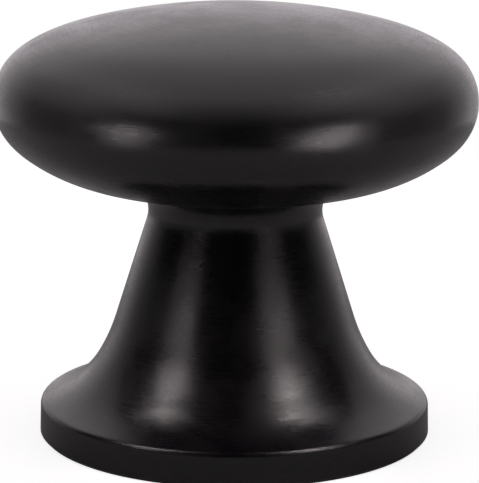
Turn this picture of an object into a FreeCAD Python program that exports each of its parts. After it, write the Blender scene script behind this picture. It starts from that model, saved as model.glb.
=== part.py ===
"""Cabinet knob: a mushroom head on a flared pedestal, turned as one piece of metal.

The knob stands on its seat, the face that bears on the door, with its axis on +Z and the origin
at the centre of the seat. Lengths are in millimetres and angles in degrees.
"""

import FreeCAD, Part
import math
import os

import Sketcher

# Driving sizes, one named value each.
SIZES = {
    "head_diameter": 31.75,
    "projection": 28.5,
    # Head: the dome meets the shoulder at the dome slope, the shoulder meets the rim at the rim
    # slope, and the rim turns under to the underside slope, all measured from the horizontal.
    "dome_slope": 15.0,
    "shoulder_radius": 11.0,
    "rim_slope": 32.5,
    "rim_radius": 3.8,
    "underside_slope": 40.0,
    # Neck: its narrowest width, and the hollow fillet that carries it out under the head.
    "neck_diameter": 11.5,
    "neck_fillet": 2.0,
    # Pedestal: a cone that flares in two radii down to the top edge of the flange.
    "cone_half_angle": 17.4,
    "flare_upper_radius": 13.0,
    "flare_upper_angle": 13.4,
    "flare_lower_radius": 6.2,
    "flange_diameter": 26.0,
    "flange_height": 2.35,
    "flange_draft": 1.5,
    "flange_edge_round": 0.4,
    "flange_foot_chamfer": 0.2,
    # Foot: a seat ring and a screw boss, flush with each other, with a ring recess between them.
    "seat_width": 2.4,
    "boss_diameter": 9.0,
    "recess_depth": 1.2,
    "recess_draft": 5.0,
    # Blind tapped hole for a number 8 machine screw, cut to the outside of its thread.
    "screw_diameter": 4.2,
    "screw_depth": 12.7,
    "countersink_diameter": 5.4,
    "countersink_angle": 90.0,
    "drill_point_angle": 118.0,
}

NODE = "knob"
SHEET = "sizes"
NEAR = 1e-4
START, END, CENTRE = range(1, 4)
RADIAL_AXIS, TURNING_AXIS = range(-1, -3, -1)
ROOT = (RADIAL_AXIS, START)


def sizes_sheet(doc):
    """The sheet of driving sizes: each name beside its value, and the value's cell named after it."""
    sheet = doc.addObject("Spreadsheet::Sheet", SHEET)
    for row, (name, value) in enumerate(SIZES.items(), start=1):
        sheet.set(f"A{row}", name)
        sheet.set(f"B{row}", str(value))
        sheet.setAlias(f"B{row}", name)
    doc.recompute()
    return sheet


def at(r, z):
    """A point of the half section, at radius r and height z."""
    return FreeCAD.Vector(r, z, 0)


def normal(slope):
    """Outward normal of a surface that falls away from the axis at this slope, in degrees."""
    turn = math.radians(slope)
    return at(math.sin(turn), math.cos(turn))


def half_section(size):
    """The corner points and arc centres of the turned profile, from the crown down to the flange."""
    points = {}
    head_radius = size["head_diameter"] / 2
    dome, rim = normal(size["dome_slope"]), normal(size["rim_slope"])
    under = normal(180 - size["underside_slope"])
    rim_centre_r = head_radius - size["rim_radius"]
    shoulder_to_rim = size["shoulder_radius"] - size["rim_radius"]
    dome_radius = size["shoulder_radius"] + (rim_centre_r - shoulder_to_rim * rim.x) / dome.x
    dome_centre = at(0, size["projection"] - dome_radius)
    shoulder_centre = dome_centre + dome * (dome_radius - size["shoulder_radius"])
    rim_centre = shoulder_centre + rim * shoulder_to_rim
    points["apex"] = at(0, size["projection"])
    points["dome_centre"] = dome_centre
    points["dome_edge"] = dome_centre + dome * dome_radius
    points["shoulder_centre"] = shoulder_centre
    points["shoulder_edge"] = rim_centre + rim * size["rim_radius"]
    points["rim_centre"] = rim_centre
    points["rim_foot"] = rim_centre + under * size["rim_radius"]

    collar_r = size["neck_diameter"] / 2 + size["neck_fillet"]
    underside_radius = size["rim_radius"] + (rim_centre.x - collar_r) / under.x
    underside_centre = rim_centre - under * (underside_radius - size["rim_radius"])
    collar = underside_centre - at(0, underside_radius)
    neck_centre = collar - at(0, size["neck_fillet"])
    cone_slope = 90 - size["cone_half_angle"]
    cone = normal(cone_slope)
    points["underside_centre"] = underside_centre
    points["collar"] = collar
    points["neck_centre"] = neck_centre
    points["neck_foot"] = neck_centre - cone * size["neck_fillet"]

    # The flange's edge is rounded inside its drafted side.
    side = normal(90 - size["flange_draft"])
    edge_round = size["flange_edge_round"]
    flange_foot = at(size["flange_diameter"] / 2, 0)
    edge_z = size["flange_height"] - edge_round
    edge_centre = at(flange_foot.x - (edge_round + edge_z * side.y) / side.x, edge_z)
    points["flange_foot"] = flange_foot
    points["edge_centre"] = edge_centre
    points["side_top"] = edge_centre + side * edge_round

    # The cone is as long as lets the lower flare run into the rounded edge.
    downhill = at(cone.y, -cone.x)
    turned = normal(cone_slope - size["flare_upper_angle"])
    radius_step = size["flare_upper_radius"] - size["flare_lower_radius"]
    upper_swing = cone * size["flare_upper_radius"] - turned * radius_step
    reach = points["neck_foot"] + upper_swing - edge_centre
    apart = size["flare_lower_radius"] + edge_round
    along = reach.dot(downhill)
    cone_length = -along - math.sqrt(apart**2 - reach.dot(reach) + along**2)
    points["cone_foot"] = points["neck_foot"] + downhill * cone_length
    points["upper_centre"] = points["cone_foot"] + cone * size["flare_upper_radius"]
    points["lower_centre"] = points["cone_foot"] + upper_swing
    points["flare_middle"] = points["lower_centre"] - turned * size["flare_lower_radius"]
    points["flare_foot"] = edge_centre + (points["lower_centre"] - edge_centre) * (edge_round / apart)
    return points


class Section:
    """A sketch on the plane through the turning axis, drawn and then constrained."""

    def __init__(self, body, name):
        self.sketch = body.newObject("Sketcher::SketchObject", name)
        plane = next(f for f in body.Origin.OriginFeatures if f.Role == "XZ_Plane")
        self.sketch.AttachmentSupport = [(plane, "")]
        self.sketch.MapMode = "FlatFace"

    def line(self, start, end):
        return self.sketch.addGeometry(Part.LineSegment(start, end), False)

    def arc(self, centre, start, end):
        """Counter-clockwise arc from start to end."""
        first, last = (math.atan2(p.y - centre.y, p.x - centre.x) for p in (start, end))
        circle = Part.Circle(centre, FreeCAD.Vector(0, 0, 1), centre.distanceToPoint(start))
        return self.sketch.addGeometry(Part.ArcOfCircle(circle, first, last), False)

    def hold(self, kind, *items):
        return self.sketch.addConstraint(Sketcher.Constraint(kind, *items))

    def size(self, expression, kind, *items):
        """A dimension that follows the sizes: it takes its drawn value first, then the expression."""
        drawn = self.drawn_value(kind, items)
        row = self.sketch.addConstraint(Sketcher.Constraint(kind, *items, drawn))
        self.sketch.setExpression(f"Constraints[{row}]", expression)

    def drawn_value(self, kind, items):
        if kind == "Radius":
            return self.sketch.Geometry[items[0]].Radius
        if kind == "Angle":
            curve = self.sketch.Geometry[items[0]]
            if isinstance(curve, Part.ArcOfCircle):
                return curve.LastParameter - curve.FirstParameter
            run = curve.EndPoint - curve.StartPoint
            return math.atan2(run.y, run.x)
        first = self.sketch.getPoint(items[0], items[1])
        second = self.sketch.getPoint(items[2], items[3])
        return second.x - first.x if kind == "DistanceX" else second.y - first.y

    def closed(self, corners):
        """Straight lines round these corners, each tied to the next."""
        lines = [self.line(a, b) for a, b in zip(corners, corners[1:] + corners[:1])]
        for line, following in zip(lines, lines[1:] + lines[:1]):
            self.hold("Coincident", line, END, following, START)
        return lines


def profile_sketch(body, points):
    """The outline of the knob from its seat to its crown, closed along the turning axis."""
    section = Section(body, "turned_profile")
    dome = section.arc(points["dome_centre"], points["dome_edge"], points["apex"])
    shoulder = section.arc(points["shoulder_centre"], points["shoulder_edge"], points["dome_edge"])
    rim = section.arc(points["rim_centre"], points["rim_foot"], points["shoulder_edge"])
    underside = section.arc(points["underside_centre"], points["collar"], points["rim_foot"])
    neck = section.arc(points["neck_centre"], points["collar"], points["neck_foot"])
    cone = section.line(points["cone_foot"], points["neck_foot"])
    upper = section.arc(points["upper_centre"], points["cone_foot"], points["flare_middle"])
    lower = section.arc(points["lower_centre"], points["flare_middle"], points["flare_foot"])
    edge = section.arc(points["edge_centre"], points["side_top"], points["flare_foot"])
    side = section.line(points["flange_foot"], points["side_top"])
    seat = section.line(at(0, 0), points["flange_foot"])
    axis = section.line(at(0, 0), points["apex"])

    section.hold("Tangent", dome, START, shoulder, END)
    section.hold("Tangent", shoulder, START, rim, END)
    section.hold("Tangent", rim, START, underside, END)
    section.hold("Tangent", underside, START, neck, START)
    section.hold("Tangent", neck, END, cone, END)
    section.hold("Tangent", cone, START, upper, START)
    section.hold("Tangent", upper, END, lower, START)
    section.hold("Tangent", lower, END, edge, END)
    section.hold("Tangent", edge, START, side, END)
    section.hold("Coincident", side, START, seat, END)
    section.hold("Coincident", seat, START, *ROOT)
    section.hold("Coincident", axis, START, *ROOT)
    section.hold("Coincident", axis, END, dome, END)
    section.hold("PointOnObject", dome, CENTRE, TURNING_AXIS)
    section.hold("PointOnObject", dome, END, TURNING_AXIS)
    section.hold("PointOnObject", seat, END, RADIAL_AXIS)
    section.hold("Vertical", underside, CENTRE, underside, START)

    section.size("sizes.projection", "DistanceY", *ROOT, dome, END)
    section.size("sizes.head_diameter / 2 - sizes.rim_radius", "DistanceX", *ROOT, rim, CENTRE)
    section.size("sizes.dome_slope", "Angle", dome)
    section.size("sizes.shoulder_radius", "Radius", shoulder)
    section.size("sizes.rim_slope - sizes.dome_slope", "Angle", shoulder)
    section.size("sizes.rim_radius", "Radius", rim)
    section.size("sizes.underside_slope", "Angle", underside)
    section.size("sizes.neck_diameter / 2 + sizes.neck_fillet", "DistanceX", *ROOT, neck, CENTRE)
    section.size("sizes.neck_fillet", "Radius", neck)
    section.size("90 + sizes.cone_half_angle", "Angle", cone)
    section.size("sizes.flare_upper_radius", "Radius", upper)
    section.size("sizes.flare_upper_angle", "Angle", upper)
    section.size("sizes.flare_lower_radius", "Radius", lower)
    section.size("sizes.flange_diameter / 2", "DistanceX", *ROOT, seat, END)
    section.size("sizes.flange_height - sizes.flange_edge_round", "DistanceY", *ROOT, edge, CENTRE)
    section.size("sizes.flange_edge_round", "Radius", edge)
    section.size("90 + sizes.flange_draft", "Angle", side)
    return section.sketch


def recess_sketch(body, size):
    """The ring recess in the foot, between the screw boss and the seat ring, with drafted walls."""
    section = Section(body, "recess_profile")
    inner = size["boss_diameter"] / 2
    outer = size["flange_diameter"] / 2 - size["seat_width"]
    depth = size["recess_depth"]
    lean = depth * math.tan(math.radians(size["recess_draft"]))
    mouth, wall, floor, boss = section.closed(
        [at(inner, 0), at(outer, 0), at(outer - lean, depth), at(inner + lean, depth)]
    )
    section.hold("PointOnObject", mouth, START, RADIAL_AXIS)
    section.hold("Horizontal", mouth)
    section.hold("Horizontal", floor)
    section.hold("Equal", wall, boss)
    section.size("90 + sizes.recess_draft", "Angle", wall)
    section.size("sizes.boss_diameter / 2", "DistanceX", *ROOT, mouth, START)
    section.size("sizes.flange_diameter / 2 - sizes.seat_width", "DistanceX", *ROOT, mouth, END)
    section.size("sizes.recess_depth", "DistanceY", *ROOT, floor, START)
    return section.sketch


def screw_sketch(body, size):
    """The blind screw hole: countersunk mouth, straight wall and drill point, closed on the axis."""
    section = Section(body, "screw_hole_profile")
    wall_r = size["screw_diameter"] / 2
    mouth_r = size["countersink_diameter"] / 2
    sink = (mouth_r - wall_r) / math.tan(math.radians(size["countersink_angle"] / 2))
    point = wall_r / math.tan(math.radians(size["drill_point_angle"] / 2))
    depth = size["screw_depth"]
    mouth, bevel, wall, cone, axis = section.closed(
        [at(0, 0), at(mouth_r, 0), at(wall_r, sink), at(wall_r, depth), at(0, depth + point)]
    )
    section.hold("Coincident", mouth, START, *ROOT)
    section.hold("Horizontal", mouth)
    section.hold("Vertical", wall)
    section.hold("Vertical", axis)
    section.size("sizes.countersink_diameter / 2", "DistanceX", *ROOT, mouth, END)
    section.size("90 + sizes.countersink_angle / 2", "Angle", bevel)
    section.size("sizes.screw_diameter / 2", "DistanceX", *ROOT, wall, START)
    section.size("sizes.screw_depth", "DistanceY", *ROOT, wall, END)
    section.size("90 + sizes.drill_point_angle / 2", "Angle", cone)
    return section.sketch


def turned(body, kind, name, sketch):
    """A full turn of a sketch about the knob's axis, added to the body or cut from it."""
    feature = body.newObject(kind, name)
    feature.Profile = sketch
    feature.ReferenceAxis = (sketch, ["V_Axis"])
    body.Document.recompute()
    return feature


def chamfered(body, name, base, ring, size_name):
    """A chamfer on the circular edge of the base that passes through a point of the half section."""
    chosen = []
    for number, edge in enumerate(base.Shape.Edges, start=1):
        if edge.Degenerated or not isinstance(edge.Curve, Part.Circle):
            continue
        if ring.distanceToPoint(at(edge.Curve.Radius, edge.Curve.Center.z)) < NEAR:
            chosen.append(f"Edge{number}")
    if len(chosen) != 1:
        raise RuntimeError(f"{name}: {len(chosen)} edges found")
    chamfer = body.newObject("PartDesign::Chamfer", name)
    chamfer.Base = (base, chosen)
    chamfer.setExpression("Size", f"{SHEET}.{size_name}")
    body.Document.recompute()
    return chamfer


def knob_body(doc, size):
    """The whole knob: turned outside, recessed foot, screw hole and chamfered foot edge."""
    body = doc.addObject("PartDesign::Body", NODE)
    body.Label = NODE
    body.Placement = FreeCAD.Placement()
    points = half_section(size)
    blank = turned(body, "PartDesign::Revolution", "turned_blank", profile_sketch(body, points))
    recess = turned(body, "PartDesign::Groove", "foot_recess", recess_sketch(body, size))
    drilled = turned(body, "PartDesign::Groove", "screw_hole", screw_sketch(body, size))
    finished = chamfered(
        body, "foot_edge_chamfer", drilled, points["flange_foot"], "flange_foot_chamfer"
    )
    steps = [blank, recess, drilled, finished]
    for before, after in zip(steps, steps[1:]):
        if after.Shape.Volume > before.Shape.Volume - NEAR:
            raise RuntimeError(f"{after.Name} cut nothing")
    return body


def check(doc, bodies):
    """Every object solved, and every body one valid solid."""
    for item in doc.Objects:
        faults = {"Invalid", "Error"}.intersection(item.State)
        if faults:
            raise RuntimeError(f"{item.Name}: {faults}")
        if item.isDerivedFrom("Sketcher::SketchObject") and item.solve() != 0:
            raise RuntimeError(f"{item.Name} isn't solved")
    for body in bodies:
        shape = body.Shape
        if shape.isNull() or not shape.isValid() or len(shape.Solids) != 1:
            raise RuntimeError(f"{body.Label} isn't one valid solid")


def main():
    doc = FreeCAD.newDocument("cabinet_knob")
    sizes_sheet(doc)
    bodies = [knob_body(doc, SIZES)]
    doc.recompute()
    check(doc, bodies)
    os.makedirs("parts", exist_ok=True)
    for body in bodies:
        body.Shape.exportStep(f"parts/{body.Label}.step")
        box = body.Shape.optimalBoundingBox()
        print(f"{body.Label}: {box.XLength:.3f} x {box.YLength:.3f} x {box.ZLength:.3f} mm, "
              f"{body.Shape.Volume:.1f} mm3")


main()
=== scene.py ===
"""Cabinet knob: turns the coated body and its thread, and sets a small white studio.

The body has the CAD knob's profile, but the four radii of its head run into each
other gradually, as on the polished casting, so that no light breaks on it.
Lengths are in metres, in the CAD frame: the seat is at z = 0 and +Z is the axis.
"""

import math

import bmesh
import bpy
from bpy.props import (
    FloatProperty, FloatVectorProperty, IntProperty, PointerProperty,
)
from mathutils import Matrix, Vector


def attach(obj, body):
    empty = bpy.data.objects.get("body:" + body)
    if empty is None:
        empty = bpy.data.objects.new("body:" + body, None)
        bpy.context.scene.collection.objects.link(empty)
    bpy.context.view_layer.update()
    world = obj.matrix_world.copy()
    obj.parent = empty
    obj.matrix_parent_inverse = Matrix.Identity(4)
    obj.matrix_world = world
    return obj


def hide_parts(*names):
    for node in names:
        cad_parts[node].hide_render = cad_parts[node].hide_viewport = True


bl_info = {
    "name": "Cabinet Knob",
    "version": (1, 0, 0),
    "blender": (4, 5, 0),
    "location": "3D View > Sidebar > Knob",
    "description": "Finishes a turned cabinet knob and lights it in a small studio",
    "category": "Object",
}

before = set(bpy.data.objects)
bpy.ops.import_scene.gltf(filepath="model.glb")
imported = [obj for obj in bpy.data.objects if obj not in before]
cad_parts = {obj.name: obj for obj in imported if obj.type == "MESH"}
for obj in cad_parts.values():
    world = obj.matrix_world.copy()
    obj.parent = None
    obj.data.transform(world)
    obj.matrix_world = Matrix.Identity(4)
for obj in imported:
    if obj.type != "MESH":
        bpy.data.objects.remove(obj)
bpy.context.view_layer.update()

MM = 0.001
TURN = 2 * math.pi
WHITE = (1.0, 1.0, 1.0, 1.0)
BLACK = (0.0, 0.0, 0.0, 1.0)
BODY = "root"


# ---------------------------------------------------------------- settings

class HeadSizes(bpy.types.PropertyGroup):
    """Sizes of the head, from the dome to the underside, and facets of the body"""

    height: FloatProperty(
        name="Height", description="Projection of the knob, from its seat",
        default=28.5 * MM, unit="LENGTH", precision=5)
    dome: FloatProperty(
        name="Dome", description="Radius of the dome",
        default=42.899 * MM, unit="LENGTH", precision=5)
    shoulder: FloatProperty(
        name="Shoulder", description="Radius of the shoulder",
        default=10.377 * MM, unit="LENGTH", precision=5)
    rim: FloatProperty(
        name="Rim", description="Radius of the rim",
        default=3.7593 * MM, unit="LENGTH", precision=5)
    underside: FloatProperty(
        name="Underside", description="Radius of the head's underside",
        default=10.538 * MM, unit="LENGTH", precision=5)
    shoulder_at: FloatProperty(
        name="Shoulder at", description="Way over the dome to the shoulder",
        default=11.380 * MM, unit="LENGTH", precision=5)
    rim_at: FloatProperty(
        name="Rim at", description="Way over the dome to the rim",
        default=14.598 * MM, unit="LENGTH", precision=5)
    underside_at: FloatProperty(
        name="Underside at", description="Way over the dome to the underside",
        default=21.609 * MM, unit="LENGTH", precision=5)
    dome_blend: FloatProperty(
        name="Dome blend", description="Length over which dome becomes shoulder",
        default=3.6 * MM, unit="LENGTH", precision=5)
    rim_blend: FloatProperty(
        name="Rim blend", description="Length over which the rim begins and ends",
        default=2.4 * MM, unit="LENGTH", precision=5)
    step: FloatProperty(
        name="Step", description="Length of one facet of the head's profile",
        default=0.25 * MM, unit="LENGTH", precision=5)
    segments: IntProperty(
        name="Segments", description="Facets in one turn of the body",
        default=192, min=24)
    foot_edge: FloatProperty(
        name="Foot edges", description="Width of the round on the edges of the foot",
        default=0.12 * MM, unit="LENGTH", precision=5)


class ThreadSizes(bpy.types.PropertyGroup):
    """Sizes of the screw thread inside the hole"""

    pitch: FloatProperty(
        name="Pitch", description="Rise of the thread in one turn: 32 to the inch",
        default=0.79375 * MM, unit="LENGTH", precision=5)
    wall_radius: FloatProperty(
        name="Wall radius", description="Radius of the drilled hole in the CAD body",
        default=2.1 * MM, unit="LENGTH", precision=5)
    crest_radius: FloatProperty(
        name="Crest radius", description="Radius of the hole that the crests leave",
        default=1.70 * MM, unit="LENGTH", precision=5)
    root_depth: FloatProperty(
        name="Root depth", description="How far the ridge's root is sunk into the wall",
        default=0.04 * MM, unit="LENGTH", precision=5)
    first: FloatProperty(
        name="First turn", description="Height at which the thread starts",
        default=0.75 * MM, unit="LENGTH", precision=5)
    last: FloatProperty(
        name="Last turn", description="Height at which the thread ends",
        default=12.0 * MM, unit="LENGTH", precision=5)
    steps: IntProperty(
        name="Steps", description="Segments in one turn of the thread",
        default=56, min=12)
    run_out: FloatProperty(
        name="Run-out", description="Part of a turn over which each end tapers off",
        default=math.radians(150), unit="ROTATION")


class CoatFinish(bpy.types.PropertyGroup):
    """The satin black coat on the casting"""

    colour: FloatVectorProperty(
        name="Colour", description="Colour of the coat", subtype="COLOR",
        default=(0.0026, 0.0022, 0.0030), min=0, max=1)
    worn_colour: FloatVectorProperty(
        name="Thin colour", description="Colour where the coat is a little thinner",
        subtype="COLOR", default=(0.0048, 0.0040, 0.0048), min=0, max=1)
    roughness: FloatProperty(
        name="Roughness", description="Roughness of the satin coat",
        default=0.285, min=0, max=1, subtype="FACTOR")
    roughness_spread: FloatProperty(
        name="Roughness spread", description="How much the roughness varies",
        default=0.10, min=0, max=1, subtype="FACTOR")
    patch_size: FloatProperty(
        name="Patch size", description="Width of the patches where the coat is thinner",
        default=3.0 * MM, unit="LENGTH", precision=5)
    mark_spacing: FloatProperty(
        name="Mark spacing", description="Distance between the turning marks",
        default=0.15 * MM, unit="LENGTH", precision=5)
    mark_breaks: FloatProperty(
        name="Mark breaks", description="Higher numbers break the marks up shorter",
        default=9.0, min=0)
    mark_depth: FloatProperty(
        name="Mark depth", description="Depth of the turning marks",
        default=0.0006 * MM, unit="LENGTH", precision=6)
    grain_share: FloatProperty(
        name="Grain", description="Depth of the coat's grain, as a share of the marks",
        default=1.1, min=0)
    zinc: FloatVectorProperty(
        name="Zinc", description="Colour of the bare casting on the thread's crests",
        subtype="COLOR", default=(0.45, 0.44, 0.43), min=0, max=1)


class Studio(bpy.types.PropertyGroup):
    """The floor, the lights and the camera"""

    floor_radius: FloatProperty(
        name="Floor radius", description="Radius of the round white table top",
        default=90 * MM, unit="LENGTH")
    floor_colour: FloatVectorProperty(
        name="Floor colour", description="Colour of the table top", subtype="COLOR",
        default=(0.56, 0.555, 0.55), min=0, max=1)
    floor_glow: FloatProperty(
        name="Floor glow", description="Brightness that only the camera sees on it",
        default=0.78, min=0)
    tent_colour: FloatVectorProperty(
        name="Tent colour", description="Colour of the tent's light",
        subtype="COLOR", default=(1.03, 0.965, 1.005), min=0, max=1.2)
    lamp_colour: FloatVectorProperty(
        name="Lamp colour", description="Colour of the lamps' light",
        subtype="COLOR", default=(1.065, 0.962, 0.973), min=0, max=1.2)
    tent_front: FloatProperty(
        name="Tent, front", description="Brightness of the open front of the tent",
        default=0.037, min=0)
    tent_slope: FloatProperty(
        name="Tent, slope", description="Brightness halfway up the tent",
        default=0.213, min=0)
    tent_top: FloatProperty(
        name="Tent, top", description="Brightness that the tent's top adds",
        default=0.34, min=0)
    tent_ridge: FloatProperty(
        name="Tent, ridge", description="Brightness that the top adds a little behind",
        default=0.271, min=0)
    tent_wing: FloatProperty(
        name="Tent, wings", description="Brightness that the sides add high up",
        default=0.576, min=0)
    tent_cheek: FloatProperty(
        name="Tent, cheeks", description="Brightness that the far sides add",
        default=0.54, min=0)
    tent_side: FloatProperty(
        name="Tent, sides", description="Brightness that the sides add low down",
        default=0.161, min=0)
    tent_back: FloatProperty(
        name="Tent, back", description="Brightness of the wall behind the knob",
        default=0.729, min=0)
    tent_strip: FloatProperty(
        name="Tent, strip", description="Brightness that a strip low behind adds",
        default=0.32, min=0)
    flag_height: FloatProperty(
        name="Flag, height", description="Height of the black card",
        default=22.0 * MM, unit="LENGTH")
    flag_inner: FloatProperty(
        name="Flag, inner", description="Radius of the card's edge near the knob",
        default=15.9 * MM, unit="LENGTH")
    flag_outer: FloatProperty(
        name="Flag, outer", description="Radius of the card's far edge",
        default=80.0 * MM, unit="LENGTH")
    flag_angle: FloatProperty(
        name="Flag, angle", description="How far the card reaches round the knob",
        default=math.radians(200), unit="ROTATION")
    camera_distance: FloatProperty(
        name="Camera distance", description="From the axis to the camera",
        default=192.743 * MM, unit="LENGTH")
    camera_elevation: FloatProperty(
        name="Camera elevation", description="Angle of the view above the horizon",
        default=math.radians(13.391), unit="ROTATION")
    camera_roll: FloatProperty(
        name="Camera roll", description="Turn of the camera about its line of sight",
        default=0.0052, unit="ROTATION")
    aim_x: FloatProperty(
        name="Aim, sideways", description="Sideways place of the point looked at",
        default=0.2856 * MM, unit="LENGTH", precision=5)
    aim_z: FloatProperty(
        name="Aim, height", description="Height of the point looked at",
        default=12.8857 * MM, unit="LENGTH", precision=5)
    lens: FloatProperty(
        name="Lens", description="Focal length on a 36 mm sensor, in millimetres",
        default=217.06, min=1)


SETTINGS = {
    "knob_head": HeadSizes,
    "knob_thread": ThreadSizes,
    "knob_coat": CoatFinish,
    "knob_studio": Studio,
}


# ------------------------------------------------------------ node helpers

def new_material(name):
    """An empty node material, with its node tree and output."""
    material = bpy.data.materials.new(name)
    material.use_nodes = True
    tree = material.node_tree
    tree.nodes.clear()
    return material, tree, tree.nodes.new("ShaderNodeOutputMaterial")


def node(tree, kind, label="", **settings):
    """Adds a shader node with a label and settings."""
    made = tree.nodes.new("ShaderNode" + kind)
    made.label = label
    for key, value in settings.items():
        setattr(made, key, value)
    return made


def put(value, socket):
    """Sets one input socket, from a number or another socket."""
    if isinstance(value, bpy.types.NodeSocket):
        socket.id_data.links.new(value, socket)
    else:
        socket.default_value = value


def fill(made, **values):
    """Sets input sockets by name, with _ for a space, from numbers or other sockets."""
    for key, value in values.items():
        put(value, made.inputs[key.replace("_", " ")])
    return made


def math_node(tree, operation, *values, label=""):
    """A Math node's result, from numbers or sockets."""
    made = node(tree, "Math", label, operation=operation)
    for socket, value in zip(made.inputs, values):
        put(value, socket)
    return made.outputs[0]


def blend_colours(tree, factor, first, second, label=""):
    """A mix of two colours by a factor."""
    made = node(tree, "Mix", label, data_type="RGBA")
    for index, value in ((0, factor), (6, first), (7, second)):
        put(value, made.inputs[index])
    return made.outputs[2]


def mix_shaders(tree, factor, first, second):
    """The first shader where the factor is 0, and the second where it is 1."""
    made = node(tree, "MixShader")
    for socket, value in zip(made.inputs, (factor, first.outputs[0],
                                           second.outputs[0])):
        put(value, socket)
    return made.outputs[0]


def from_axis(tree, place):
    """The X and Y of a place, and their distance from the axis."""
    flat = fill(node(tree, "CombineXYZ"), X=place.outputs["X"], Y=place.outputs["Y"])
    radius = node(tree, "VectorMath", "Radius", operation="LENGTH")
    put(flat.outputs[0], radius.inputs[0])
    return flat.outputs[0], radius.outputs["Value"]


def ramp(tree, value, low, high, to_low=0.0, to_high=1.0, smooth=True, label=""):
    """A value mapped from one range to another, held at both ends."""
    made = node(tree, "MapRange", label,
                interpolation_type="SMOOTHSTEP" if smooth else "LINEAR")
    fill(made, Value=value, From_Min=low, From_Max=high,
         To_Min=to_low, To_Max=to_high)
    return made.outputs[0]


def colour4(colour):
    """A colour with the fourth number that colour sockets ask for."""
    return (*colour, 1.0)


def group_socket(group, name, kind, way="INPUT", default=None):
    """Adds an input or output to a node group."""
    socket = group.interface.new_socket(
        name=name, in_out=way, socket_type="NodeSocket" + kind)
    if default is not None:
        socket.default_value = default


def turned_marks_group():
    """Fine marks that run round the axis, and soft patches, from Object coordinates."""
    name = "Turned marks"
    if name in bpy.data.node_groups:
        return bpy.data.node_groups[name]
    group = bpy.data.node_groups.new(name, "ShaderNodeTree")
    group_socket(group, "Coordinates", "Vector")
    group_socket(group, "Spacing", "Float", default=0.0001)
    group_socket(group, "Breaks", "Float", default=8.0)
    group_socket(group, "Patch size", "Float", default=0.002)
    for made in ("Height", "Marks", "Patches", "Grain"):
        group_socket(group, made, "Float", "OUTPUT")
    inside = group.nodes.new("NodeGroupInput").outputs
    outside = group.nodes.new("NodeGroupOutput")

    place = fill(node(group, "SeparateXYZ"), Vector=inside["Coordinates"])
    flat, radius = from_axis(group, place)
    around = node(group, "VectorMath", "Direction round the axis",
                  operation="NORMALIZE")
    put(flat, around.inputs[0])
    round_place = fill(node(group, "SeparateXYZ"), Vector=around.outputs[0])

    across = math_node(group, "DIVIDE", radius, inside["Spacing"])
    along = math_node(group, "DIVIDE", place.outputs["Z"], inside["Spacing"])
    turn_x = math_node(group, "MULTIPLY", round_place.outputs["X"], inside["Breaks"])
    turn_y = math_node(group, "MULTIPLY", round_place.outputs["Y"], inside["Breaks"])
    ring = fill(node(group, "CombineXYZ"), X=across, Y=along, Z=turn_x)

    fine = fill(node(group, "TexNoise", "Marks", noise_dimensions="4D"), Scale=1.0,
                Detail=2.0, Vector=ring.outputs[0], W=turn_y, Roughness=0.6)
    patch_size = fill(node(group, "CombineXYZ"), X=inside["Patch size"],
                      Y=inside["Patch size"], Z=inside["Patch size"])
    patch_place = node(group, "VectorMath", "Patch place", operation="DIVIDE")
    put(inside["Coordinates"], patch_place.inputs[0])
    put(patch_size.outputs[0], patch_place.inputs[1])
    patches = fill(node(group, "TexNoise", "Patches"), Scale=1.0, Detail=4.0,
                   Vector=patch_place.outputs[0], Roughness=0.55)
    grain = fill(node(group, "TexNoise", "Grain"), Scale=14.0, Detail=2.0,
                 Vector=patch_place.outputs[0], Roughness=0.6)

    fill(outside, Height=fine.outputs["Fac"], Grain=grain.outputs["Fac"],
         Marks=ramp(group, fine.outputs["Fac"], 0.35, 0.65),
         Patches=ramp(group, patches.outputs["Fac"], 0.35, 0.68))
    return group


def turned_marks(tree, coordinates, spacing, breaks, patch_size):
    """Places the group of marks and patches in a material, and gives its outputs."""
    made = node(tree, "Group", node_tree=turned_marks_group())
    return fill(made, Coordinates=coordinates, Spacing=spacing,
                Breaks=breaks, Patch_size=patch_size).outputs


# --------------------------------------------------------------- materials

def satin_black_coat(coat):
    """Near-black satin coat that shows the casting's turning marks underneath."""
    material, tree, output = new_material("satin black coat")
    place = node(tree, "TexCoord").outputs["Object"]
    marks = turned_marks(tree, place, coat.mark_spacing, coat.mark_breaks,
                         coat.patch_size)
    colour = blend_colours(tree, marks["Patches"], colour4(coat.colour),
                           colour4(coat.worn_colour), "Coat thickness")
    patch_share = 0.6
    uneven = math_node(tree, "MULTIPLY_ADD", marks["Patches"], patch_share,
                       math_node(tree, "MULTIPLY", marks["Marks"], 1 - patch_share))
    half = coat.roughness_spread / 2
    roughness = ramp(tree, uneven, 0.0, 1.0, coat.roughness - half,
                     coat.roughness + half, smooth=False, label="Roughness")
    surfaced = math_node(tree, "MULTIPLY_ADD", marks["Grain"], coat.grain_share,
                         marks["Height"], label="Marks under the grain")
    relief = fill(node(tree, "Bump", "Turning marks"), Strength=1.0,
                  Distance=coat.mark_depth, Height=surfaced)
    surface = fill(node(tree, "BsdfPrincipled"), Base_Color=colour,
                   Roughness=roughness, IOR=1.5, Normal=relief.outputs[0])
    fill(output, Surface=surface.outputs[0])
    return material


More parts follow.
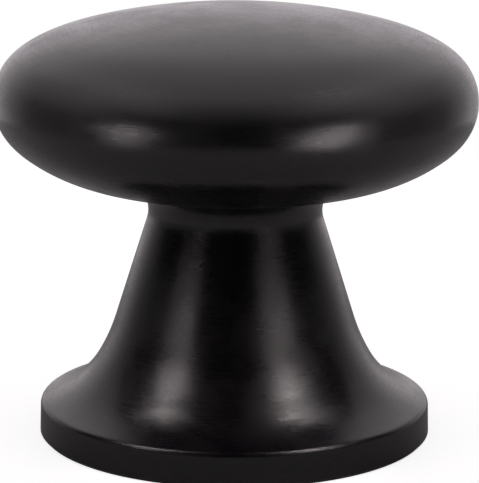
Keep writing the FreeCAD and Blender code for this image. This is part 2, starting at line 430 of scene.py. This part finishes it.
def coated_thread(coat, thread):
    """The coat is thin on the thread, and the zinc shows along the crests."""
    material, tree, output = new_material("thinly coated thread")
    place = node(tree, "TexCoord").outputs["Object"]
    marks = turned_marks(tree, place, spacing=0.05 * MM, breaks=20.0,
                         patch_size=0.6 * MM)
    _, radius = from_axis(tree, fill(node(tree, "SeparateXYZ"), Vector=place))
    crest_height = 0.14 * MM
    crest = ramp(tree, radius, thread.crest_radius,
                 thread.crest_radius + crest_height, 1.0, 0.0, label="Crest")
    bare = math_node(tree, "MULTIPLY", crest,
                     ramp(tree, marks["Marks"], 0.1, 0.7, label="Broken coat"))
    surface = fill(
        node(tree, "BsdfPrincipled"),
        Base_Color=blend_colours(tree, bare, colour4(coat.worn_colour),
                                 colour4(coat.zinc)),
        Metallic=bare,
        Roughness=ramp(tree, marks["Patches"], 0.0, 1.0, 0.28, 0.42),
        IOR=1.5,
        Normal=fill(node(tree, "Bump"), Strength=1.0, Distance=0.002 * MM,
                    Height=marks["Height"]).outputs[0])
    fill(output, Surface=surface.outputs[0])
    return material


def table_top(studio):
    """Matt and pale. The camera sees it as white paper that keeps a faint shadow."""
    material, tree, output = new_material("table top")
    grain = fill(node(tree, "TexNoise"), Scale=900.0, Detail=3.0,
                 Vector=node(tree, "TexCoord").outputs["Object"])
    darker = Vector(studio.floor_colour) * 0.97
    tint = blend_colours(tree, grain.outputs["Fac"], colour4(studio.floor_colour),
                         colour4(darker))
    matt = fill(node(tree, "BsdfDiffuse"), Color=tint, Roughness=0.5)
    glow = fill(node(tree, "Emission"), Color=WHITE, Strength=studio.floor_glow)
    paper = node(tree, "AddShader")
    put(matt.outputs[0], paper.inputs[0])
    put(glow.outputs[0], paper.inputs[1])
    to_camera = node(tree, "LightPath").outputs["Is Camera Ray"]
    fill(output, Surface=mix_shaders(tree, to_camera, matt, paper))
    return material


# ------------------------------------------------------------------ pieces

def settle(bm, name, material, smooth_angle=None):
    """Makes the finished piece from a bmesh, at the origin, in the scene."""
    mesh = bpy.data.meshes.new(name)
    bm.to_mesh(mesh)
    bm.free()
    mesh.materials.append(material)
    if smooth_angle is not None:
        mesh.shade_smooth()
        mesh.set_sharp_from_angle(angle=smooth_angle)
    piece = bpy.data.objects.new(name, mesh)
    bpy.context.scene.collection.objects.link(piece)
    return piece


# The profile under the head, as in the CAD, in millimetres from the axis and the
# seat. An arc is given by its centre, its radius, the angles between which it runs,
# in degrees, and its facets. A run is a straight line to a point, in equal pieces.
PEDESTAL = (
    ("arc", (7.75, 15.1178), 2.0, 90, 197.4, 20),
    ("run", (7.93148, 7.85068), 8),
    ("arc", (20.3366, 11.7382), 13.0, 197.4, 210.8, 8),
    ("arc", (14.4957, 8.25632), 6.2, 210.8, 252.84, 16),
    ("arc", (12.5488, 1.95), 0.4, 72.84, 1.5, 8),
    ("run", (12.9948, 0.2), 4),
    ("run", (12.8, 0.0), 1),
)
# The foot's seat, recess and boss, and the screw hole up to its drill point.
FOOT = ((10.6, 0.0), (10.495, 1.2), (4.605, 1.2), (4.5, 0.0), (2.7, 0.0),
        (2.1, 0.6), (2.1, 12.7), (0.0, 13.962))


# Edges sharper than this stay hard.
BODY_EDGE = math.radians(28)
THREAD_EDGE = math.radians(25)
WELD = 0.0005 * MM


def follow_arc(bm, point, centre, angle, steps):
    """Turns a point of the profile round a centre, and leaves a trail of edges."""
    trail = bmesh.ops.spin(
        bm, geom=[point], cent=(centre[0], 0, centre[1]), axis=(0, 1, 0),
        angle=angle, steps=steps, use_merge=False, use_duplicate=False)
    return next(part for part in trail["geom_last"]
                if isinstance(part, bmesh.types.BMVert))


def follow_run(bm, point, end, pieces):
    """Draws a point of the profile straight to an end, in a number of pieces."""
    stride = (Vector((end[0], 0, end[1])) - point.co) / pieces
    for _ in range(pieces):
        point = bmesh.ops.extrude_vert_indiv(bm, verts=[point])["verts"][0]
        bmesh.ops.translate(bm, verts=[point], vec=stride)
    return point


def eased(value, middle, width):
    """Rises smoothly from 0 to 1 over a width."""
    share = min(max((value - middle) / width + 0.5, 0.0), 1.0)
    return share * share * (3 - 2 * share)


def head_profile(bm, head):
    """The dome, shoulder, rim and underside, whose curvature changes gradually."""
    point = bm.verts.new((0, 0, head.height))
    way = slope = 0.0
    while slope < math.pi - 1e-5:
        middle = way + head.step / 2
        curvature = 1 / head.dome
        for at, blend, before, after in (
                (head.shoulder_at, head.dome_blend, head.dome, head.shoulder),
                (head.rim_at, head.rim_blend, head.shoulder, head.rim),
                (head.underside_at, head.rim_blend, head.rim, head.underside)):
            curvature += (1 / after - 1 / before) * eased(middle, at, blend)
        turn = min(curvature * head.step, math.pi - slope)
        centre = (point.co.x - math.sin(slope) / curvature,
                  point.co.z - math.cos(slope) / curvature)
        point = follow_arc(bm, point, centre, turn, 1)
        slope += turn
        way += head.step
    return point


def turned_body(head):
    """The whole profile, from the dome to the drill point, turned round the axis."""
    bm = bmesh.new()
    point = head_profile(bm, head)
    for kind, place, *rest in PEDESTAL:
        if kind == "run":
            point = follow_run(bm, point, Vector(place) * MM, rest[0])
            continue
        radius, start, end, steps = rest
        a = math.radians(start)
        point.co = ((place[0] + radius * math.cos(a)) * MM, 0,
                    (place[1] + radius * math.sin(a)) * MM)
        point = follow_arc(bm, point, Vector(place) * MM,
                           math.radians(start - end), steps)
    corners = [point]
    for place in FOOT:
        point = follow_run(bm, point, Vector(place) * MM, 1)
        corners.append(point)
    bmesh.ops.bevel(bm, geom=corners[1:-1], offset=head.foot_edge,
                    offset_type="OFFSET", affect="VERTICES", segments=4, profile=0.5,
                    material=-1)
    bmesh.ops.spin(bm, geom=bm.verts[:] + bm.edges[:], cent=(0, 0, 0),
                   axis=(0, 0, 1), angle=TURN, steps=head.segments, use_merge=True,
                   use_duplicate=False)
    bmesh.ops.remove_doubles(bm, verts=bm.verts[:], dist=WELD)
    bmesh.ops.recalc_face_normals(bm, faces=bm.faces[:])
    return bm


def thread_ridge(sizes):
    """One ridge wound up the wall of the hole, closed and tapered at both ends.

    As in an inch thread, its crest is a quarter of the pitch wide, and an eighth of
    the pitch is left between its turns at the wall.
    """
    bm = bmesh.new()
    half_root = sizes.pitch * 7 / 16
    half_crest = sizes.pitch / 8
    root = sizes.wall_radius + sizes.root_depth
    base = sizes.first + half_root
    section = [
        (root, -half_root), (sizes.wall_radius, -half_root),
        (sizes.crest_radius, -half_crest), (sizes.crest_radius, half_crest),
        (sizes.wall_radius, half_root), (root, half_root),
    ]
    corners = [bm.verts.new((r, 0.0, base + z)) for r, z in section]
    start = bm.faces.new(corners)
    rise = sizes.last - sizes.first - 2 * half_root
    steps = round(rise / sizes.pitch * sizes.steps)
    turned = steps / sizes.steps * TURN
    bmesh.ops.spin(
        bm, geom=[start], cent=(0, 0, 0), axis=(0, 0, 1),
        dvec=(0, 0, rise / steps), angle=turned, steps=steps, use_merge=False,
        use_duplicate=False)
    for vert in bm.verts:
        radius = math.hypot(vert.co.x, vert.co.y)
        climbed = (vert.co.z - base) / rise * turned
        nearest = min(climbed, turned - climbed)
        if nearest < sizes.run_out and radius < sizes.wall_radius:
            share = max(nearest, 0.0) / sizes.run_out
            wanted = sizes.wall_radius - (sizes.wall_radius - radius) * share
            vert.co.x *= wanted / radius
            vert.co.y *= wanted / radius
    bmesh.ops.recalc_face_normals(bm, faces=bm.faces[:])
    return bm


class KNOB_OT_turned_body(bpy.types.Operator):
    """Turns the body and gives it its satin black coat"""

    bl_idname = "knob.turned_body"
    bl_label = "Turn the body"

    def execute(self, context):
        coat = satin_black_coat(context.scene.knob_coat)
        piece = settle(turned_body(context.scene.knob_head), "turned_body", coat,
                       BODY_EDGE)
        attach(piece, BODY)
        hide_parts("knob")
        return {"FINISHED"}


class KNOB_OT_screw_thread(bpy.types.Operator):
    """Winds the screw thread inside the hole"""

    bl_idname = "knob.screw_thread"
    bl_label = "Cut the screw thread"

    def execute(self, context):
        sizes = context.scene.knob_thread
        material = coated_thread(context.scene.knob_coat, sizes)
        piece = settle(thread_ridge(sizes), "screw_thread", material, THREAD_EDGE)
        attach(piece, BODY)
        return {"FINISHED"}


# ------------------------------------------------------------------- stage

# The table top lies just under the seat.
TABLE_DROP = 0.02 * MM
TABLE_SEGMENTS = 128
FLAG_STEPS = 48

LAMP_DISTANCE = 350 * MM
LAMP_RADIUS = 4 * MM
LAMP_BLEND = 0.7
LAMP_PATCH = math.radians(10) ** 2

# Each bank of lamps: the point it is aimed at and its beams' radius, in millimetres,
# the lamps' azimuths, and for each elevation the brightness of every lamp. Angles are
# in degrees.
BANKS = {
    "rim, left": ((-7.4, -13.9, 22.2), 6.0, (-64, -56, -48, -40), {
        14: (0, 0.9, 1.7, 0),
        6: (1, 1.4, 2.8, 1.3),
        -2: (0, 2.1, 2.4, 0.7),
        -10: (0, 1, 1.1, 0),
        -16: (0, 0.9, 1, 0)}),
    "rim, right": ((6.6, -14.2, 22.0), 6.0, (30, 38, 46, 54), {
        14: (0, 1.2, 1.5, 3.4),
        6: (0.7, 1.4, 3.1, 2.4),
        -2: (1.4, 3.7, 4, 2.1),
        -10: (0.8, 2.2, 3.1, 0.5),
        -16: (0.9, 2.2, 1.9, 0)}),
    "stem, left": ((-4.0, -6.7, 8.4), 5.0, (-64, -56, -48), {
        22: (0, 0, 1.6),
        14: (1.2, 1.2, 2.7)}),
    "stem, right": ((3.2, -7.1, 8.4), 5.0, (32, 40, 48, 56), {
        22: (1.4, 2, 0, 0),
        14: (1, 2, 2.3, 1.4)}),
    "foot, left": ((-4.5, -8.1, 5.2), 6.0, (-76, -68, -60, -52), {
        46: (2, 3.2, 2.5, 0.2),
        38: (0.4, 2.9, 3, 3.9),
        30: (0.4, 2.7, 2.5, 3.8)}),
    "foot, right": ((4.0, -8.4, 5.2), 6.0, (44, 52, 60, 68, 76), {
        46: (1.5, 5.3, 3.6, 2.3, 0),
        38: (4.9, 5.6, 2.8, 2, 0),
        30: (2.2, 2.4, 1.6, 1, 0)}),
    "toe, left": ((-4.9, -10.0, 3.1), 5.0, (-112, -100, -88, -76, -64), {
        74: (5, 4, 2.3, 0, 0),
        66: (0, 0.8, 7, 2.8, 0),
        58: (0.8, 2.4, 4.8, 4.8, 1.3),
        50: (0, 0, 0, 2.5, 0.3)}),
    "toe, right": ((4.2, -10.3, 3.1), 5.0, (54, 66, 78, 90, 102), {
        74: (0, 0, 0, 5, 5.5),
        66: (0.3, 2.8, 7.2, 6.8, 2.6),
        58: (2.4, 5.4, 4.2, 1.8, 2.2),
        50: (1.4, 2.8, 2, 0, 0)}),
}


def towards(azimuth, elevation, distance):
    """A place seen from the knob: azimuth 0 is the camera's side, + to its right."""
    a, e = math.radians(azimuth), math.radians(elevation)
    return Vector((math.sin(a) * math.cos(e), -math.cos(a) * math.cos(e),
                   math.sin(e))) * distance


def aimed(place, target):
    """The matrix of a lamp at a place that shines at a target."""
    turn = (target - place).to_track_quat("-Z", "Y")
    return Matrix.Translation(place) @ turn.to_matrix().to_4x4()


def aimed_lamp(name, azimuth, elevation, target, beam, brightness, colour):
    """A small lamp with a snoot, which lights a round patch of the knob.

    Its brightness is that of a ten degree wide patch of a wall, where 1 is white.
    """
    lamp = bpy.data.lights.new(name, "SPOT")
    lamp.color = colour
    lamp.energy = brightness * LAMP_PATCH * 4 * math.pi * LAMP_DISTANCE ** 2
    lamp.spot_size = 2 * math.atan(beam / LAMP_DISTANCE)
    lamp.spot_blend = LAMP_BLEND
    lamp.shadow_soft_size = LAMP_RADIUS
    made = bpy.data.objects.new(name, lamp)
    place = target + towards(azimuth, elevation, LAMP_DISTANCE)
    made.matrix_world = aimed(place, target)
    made.visible_camera = False
    bpy.context.scene.collection.objects.link(made)


# Where each part of the tent glows, by directions that it must lean to. Its glow
# fades in between two cosines of the angle to each, and X counts the same to the
# left and to the right.
WIDE, BACK, HIGH = (1, 0, 0), (0, 1, 0), (0, 0, 1)
TENT = {
    "tent_front": (),
    "tent_slope": (((0, 0.342, 0.940), 0.4, 0.8),),
    "tent_top": (((0, 0.174, 0.985), 0.75, 0.95),),
    "tent_ridge": (((0, -0.174, 0.985), 0.6, 0.95),),
    "tent_wing": ((WIDE, 0.2, 0.6), (HIGH, 0.4, 0.8)),
    "tent_cheek": ((WIDE, 0.6, 0.95), (HIGH, 0.2, 0.5)),
    "tent_side": ((WIDE, 0.2, 0.6), (HIGH, 0.5, 0.2)),
    "tent_back": ((BACK, 0.3, 1.0),),
    "tent_strip": ((BACK, 0.85, 1.0),),
}


def tent(studio):
    """A tent that is white overhead and behind, and dark in front.

    The camera sees plain white in its place.
    """
    world = bpy.data.worlds.new("studio")
    bpy.context.scene.world = world
    world.use_nodes = True
    tree = world.node_tree
    tree.nodes.clear()
    output = tree.nodes.new("ShaderNodeOutputWorld")
    direction = node(tree, "TexCoord").outputs["Generated"]
    parts = fill(node(tree, "SeparateXYZ"), Vector=direction).outputs
    folded = fill(node(tree, "CombineXYZ", "Both sides alike"),
                  X=math_node(tree, "ABSOLUTE", parts["X"]),
                  Y=parts["Y"], Z=parts["Z"]).outputs[0]
    level = 0.0
    for name, fades in TENT.items():
        glow = getattr(studio, name)
        for axis, low, high in fades:
            lean = node(tree, "VectorMath", name, operation="DOT_PRODUCT")
            put(folded, lean.inputs[0])
            put(axis, lean.inputs[1])
            glow = math_node(tree, "MULTIPLY",
                             ramp(tree, lean.outputs["Value"], low, high), glow)
        level = math_node(tree, "ADD", level, glow)
    inside = fill(node(tree, "Background"), Color=colour4(studio.tent_colour),
                  Strength=level)
    white = fill(node(tree, "Background"), Color=WHITE, Strength=1.0)
    to_camera = node(tree, "LightPath").outputs["Is Camera Ray"]
    fill(output, Surface=mix_shaders(tree, to_camera, inside, white))


def flag(studio):
    """A black card held level in front of the stem, which darkens its reflections.

    Its lower face is black, and its upper face lets everything through.
    """
    material, tree, output = new_material("black card")
    upper = node(tree, "NewGeometry").outputs["Backfacing"]
    black = fill(node(tree, "BsdfDiffuse"), Color=BLACK)
    fill(output, Surface=mix_shaders(tree, upper, black,
                                     node(tree, "BsdfTransparent")))
    bm = bmesh.new()
    half = studio.flag_angle / 2
    edge = [bm.verts.new((math.sin(half) * r, -math.cos(half) * r,
                          studio.flag_height))
            for r in (studio.flag_inner, studio.flag_outer)]
    bmesh.ops.spin(bm, geom=[*edge, bm.edges.new(edge)], cent=(0, 0, 0),
                   axis=(0, 0, 1), angle=-2 * half, steps=FLAG_STEPS,
                   use_merge=False, use_duplicate=False)
    card = settle(bm, "flag", material)
    for ray in ("camera", "diffuse", "transmission", "shadow", "volume_scatter"):
        setattr(card, "visible_" + ray, False)


def look(studio):
    """The camera, at the height and the turn of the photograph's."""
    camera = bpy.data.cameras.new("camera")
    camera.lens = studio.lens
    camera.sensor_width = 36.0
    camera.clip_start = 0.01
    camera.clip_end = 20.0
    eye = bpy.data.objects.new("camera", camera)
    e = studio.camera_elevation
    place = Vector((studio.aim_x, -studio.camera_distance * math.cos(e),
                    studio.aim_z + studio.camera_distance * math.sin(e)))
    eye.matrix_world = (
        Matrix.Translation(place)
        @ Matrix.Rotation(math.pi / 2 - e, 4, "X")
        @ Matrix.Rotation(studio.camera_roll, 4, "Z"))
    bpy.context.scene.collection.objects.link(eye)
    bpy.context.scene.camera = eye


class KNOB_OT_studio(bpy.types.Operator):
    """Sets the floor, the tent, the lamps and the camera"""

    bl_idname = "knob.studio"
    bl_label = "Set the studio"

    def execute(self, context):
        studio = context.scene.knob_studio
        bm = bmesh.new()
        bmesh.ops.create_circle(bm, cap_ends=True, segments=TABLE_SEGMENTS,
                                radius=studio.floor_radius)
        bmesh.ops.translate(bm, verts=bm.verts, vec=(0, 0, -TABLE_DROP))
        settle(bm, "table", table_top(studio))
        tent(studio)
        flag(studio)
        for name, (target, beam, azimuths, rows) in BANKS.items():
            for elevation, levels in rows.items():
                for azimuth, level in zip(azimuths, levels):
                    if level:
                        aimed_lamp(f"{name} {azimuth} {elevation}", azimuth,
                                   elevation, Vector(target) * MM, beam * MM, level,
                                   studio.lamp_colour)
        look(studio)
        context.scene.view_settings.view_transform = "Standard"
        return {"FINISHED"}


class KNOB_PT_workshop(bpy.types.Panel):
    """Steps and sizes of the knob"""

    bl_idname = "KNOB_PT_workshop"
    bl_label = "Cabinet Knob"
    bl_space_type = "VIEW_3D"
    bl_region_type = "UI"
    bl_category = "Knob"

    def draw(self, context):
        for step in STEPS:
            self.layout.operator(step.bl_idname)
        for name, settings in SETTINGS.items():
            box = self.layout.box()
            box.label(text=settings.__doc__)
            for key in settings.__annotations__:
                box.prop(getattr(context.scene, name), key)


STEPS = (KNOB_OT_turned_body, KNOB_OT_screw_thread, KNOB_OT_studio)
CLASSES = (*SETTINGS.values(), *STEPS, KNOB_PT_workshop)


def register():
    for cls in CLASSES:
        bpy.utils.register_class(cls)
    for name, settings in SETTINGS.items():
        setattr(bpy.types.Scene, name, PointerProperty(type=settings))


def unregister():
    for name in SETTINGS:
        delattr(bpy.types.Scene, name)
    for cls in reversed(CLASSES):
        bpy.utils.unregister_class(cls)


def main():
    register()
    bpy.ops.knob.turned_body()
    bpy.ops.knob.screw_thread()
    bpy.ops.knob.studio()


if __name__ == "__main__":
    main()
